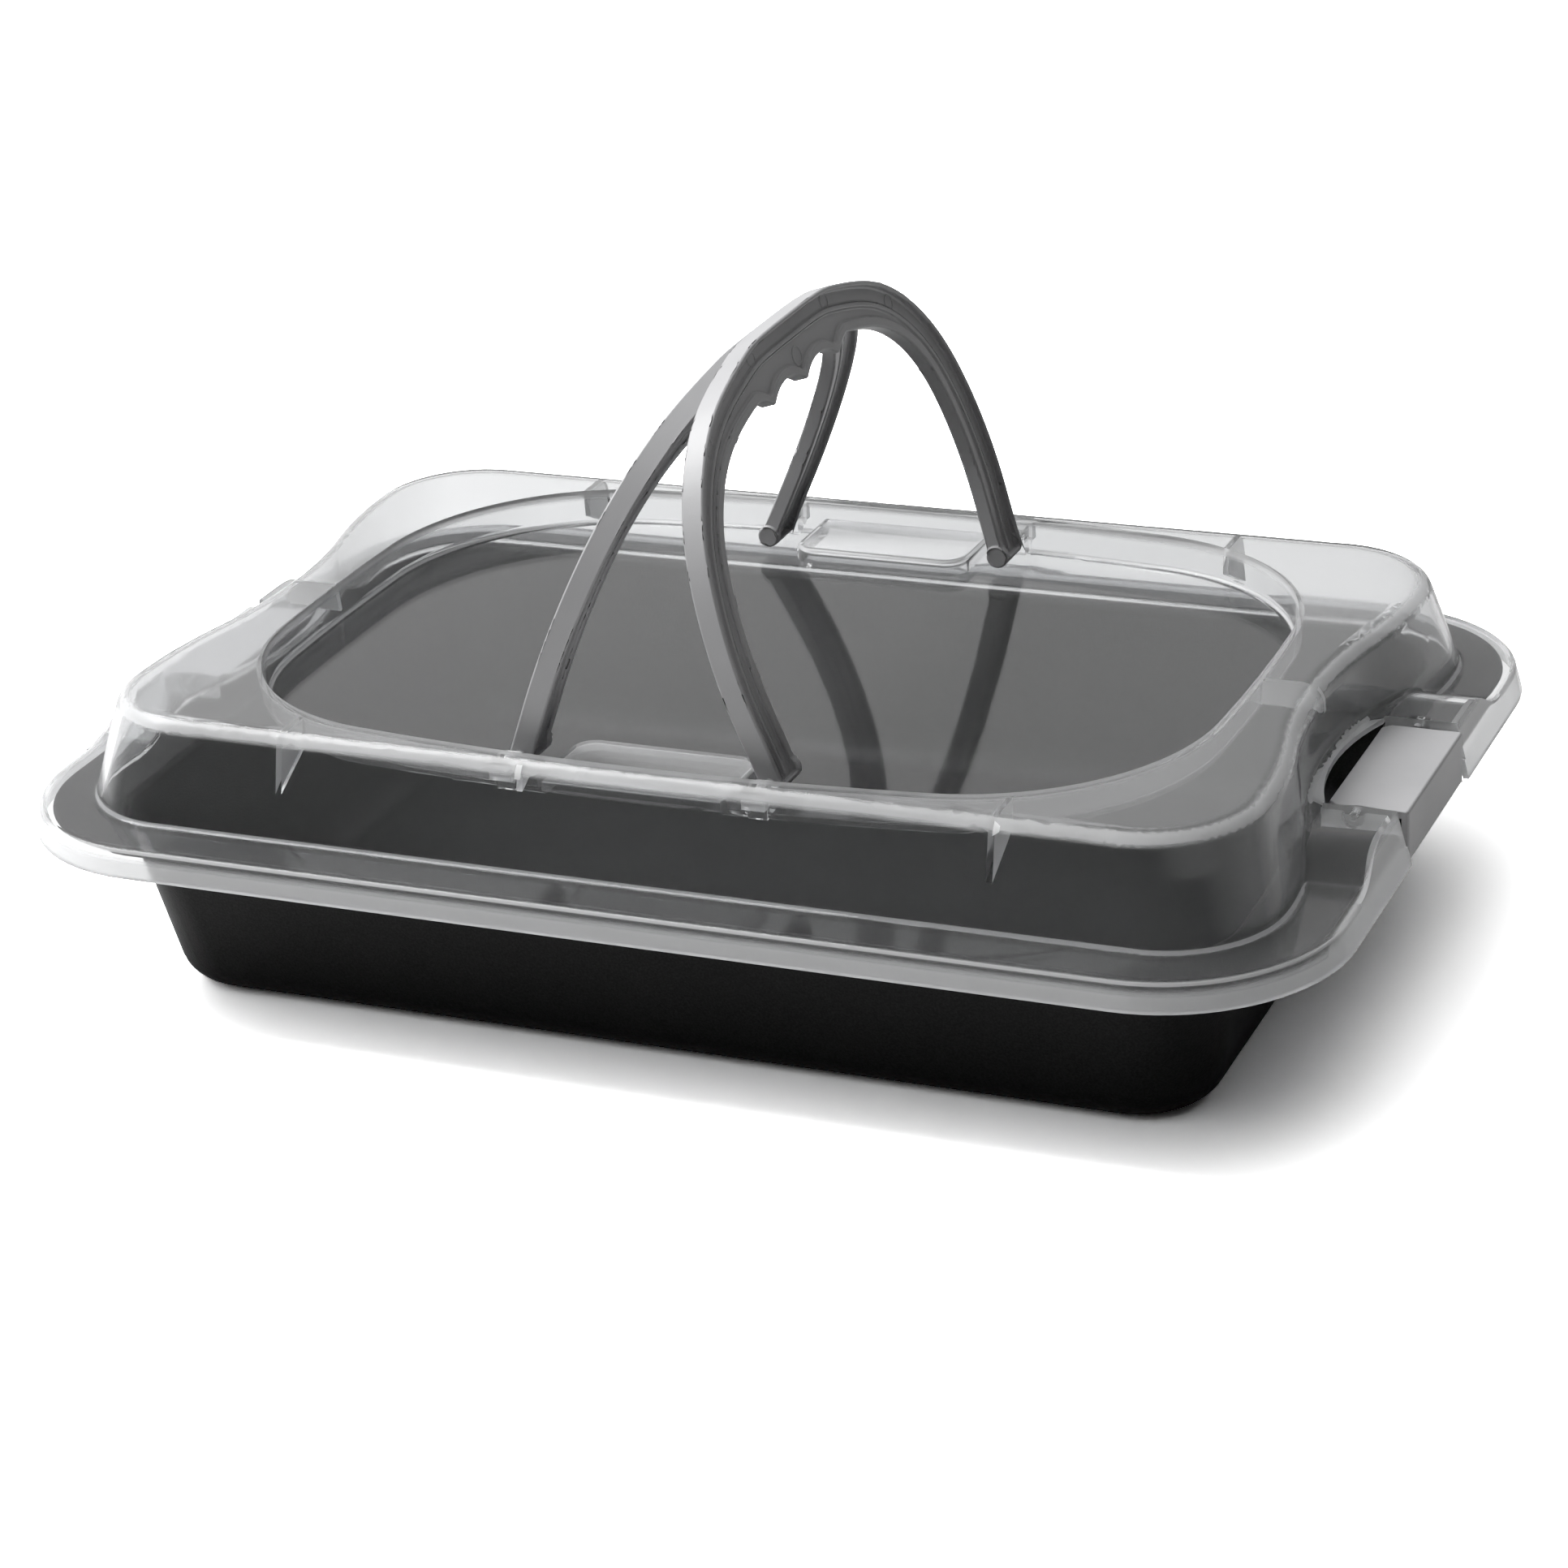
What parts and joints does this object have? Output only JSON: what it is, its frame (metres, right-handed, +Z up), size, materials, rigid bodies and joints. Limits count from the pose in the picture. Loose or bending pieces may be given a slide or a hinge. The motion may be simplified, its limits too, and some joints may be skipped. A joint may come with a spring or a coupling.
{
  "type": "baking pan with clear carrying lid",
  "caption": "Dark metal baking pan with a clear domed carrying lid held by grey end clips, and grey arched handles that fold flat into the lid's top.",
  "frame": {"origin": "On the table under the middle of the pan, at the bottom centre of the whole box.", "axes": "+X along the long side of the pan, towards the right-hand clip; +Y across to the far long side; +Z up."},
  "size_m": [0.43, 0.29, 0.2012],
  "materials": {
    "coated_steel": "dark non-stick coating, satin",
    "clear_plastic": "clear, glossy",
    "grey_plastic": "fine matt texture"
  },
  "bodies": {
    "pan": {"pan": "coated_steel"},
    "lid": {"lid": "clear_plastic"},
    "handle_left": {"handle_left": "grey_plastic"},
    "handle_right": {"handle_right": "grey_plastic"},
    "clip_left": {"clip_left": "grey_plastic"},
    "clip_right": {"clip_right": "grey_plastic"}
  },
  "joints": [
    {"name": "lid_lift", "type": "slide", "parent": "pan", "child": "lid", "axis": [0, 0, 1], "range_m": [0, 0.06]},
    {"name": "handle_right_fold", "type": "hinge", "parent": "lid", "child": "handle_right", "pos_m": [0.0412, 0, 0.0908], "axis": [0, 1, 0], "range_deg": [0, 106.9]},
    {"name": "handle_left_fold", "type": "hinge", "parent": "lid", "child": "handle_left", "pos_m": [-0.0412, 0, 0.0908], "axis": [0, -1, 0], "range_deg": [0, 113.65]},
    {"name": "clip_right_open", "type": "hinge", "parent": "lid", "child": "clip_right", "pos_m": [0.1985, 0, 0.0698], "axis": [0, -1, 0], "range_deg": [0, 90.1]},
    {"name": "clip_left_open", "type": "hinge", "parent": "lid", "child": "clip_left", "pos_m": [-0.1985, 0, 0.0698], "axis": [0, 1, 0], "range_deg": [0, 90.1]}
  ],
  "couplings": [
    {"joint": "clip_right_open", "follows": "lid_lift", "rad_per_m": 26.18},
    {"joint": "clip_left_open", "follows": "lid_lift", "rad_per_m": 26.18}
  ]
}
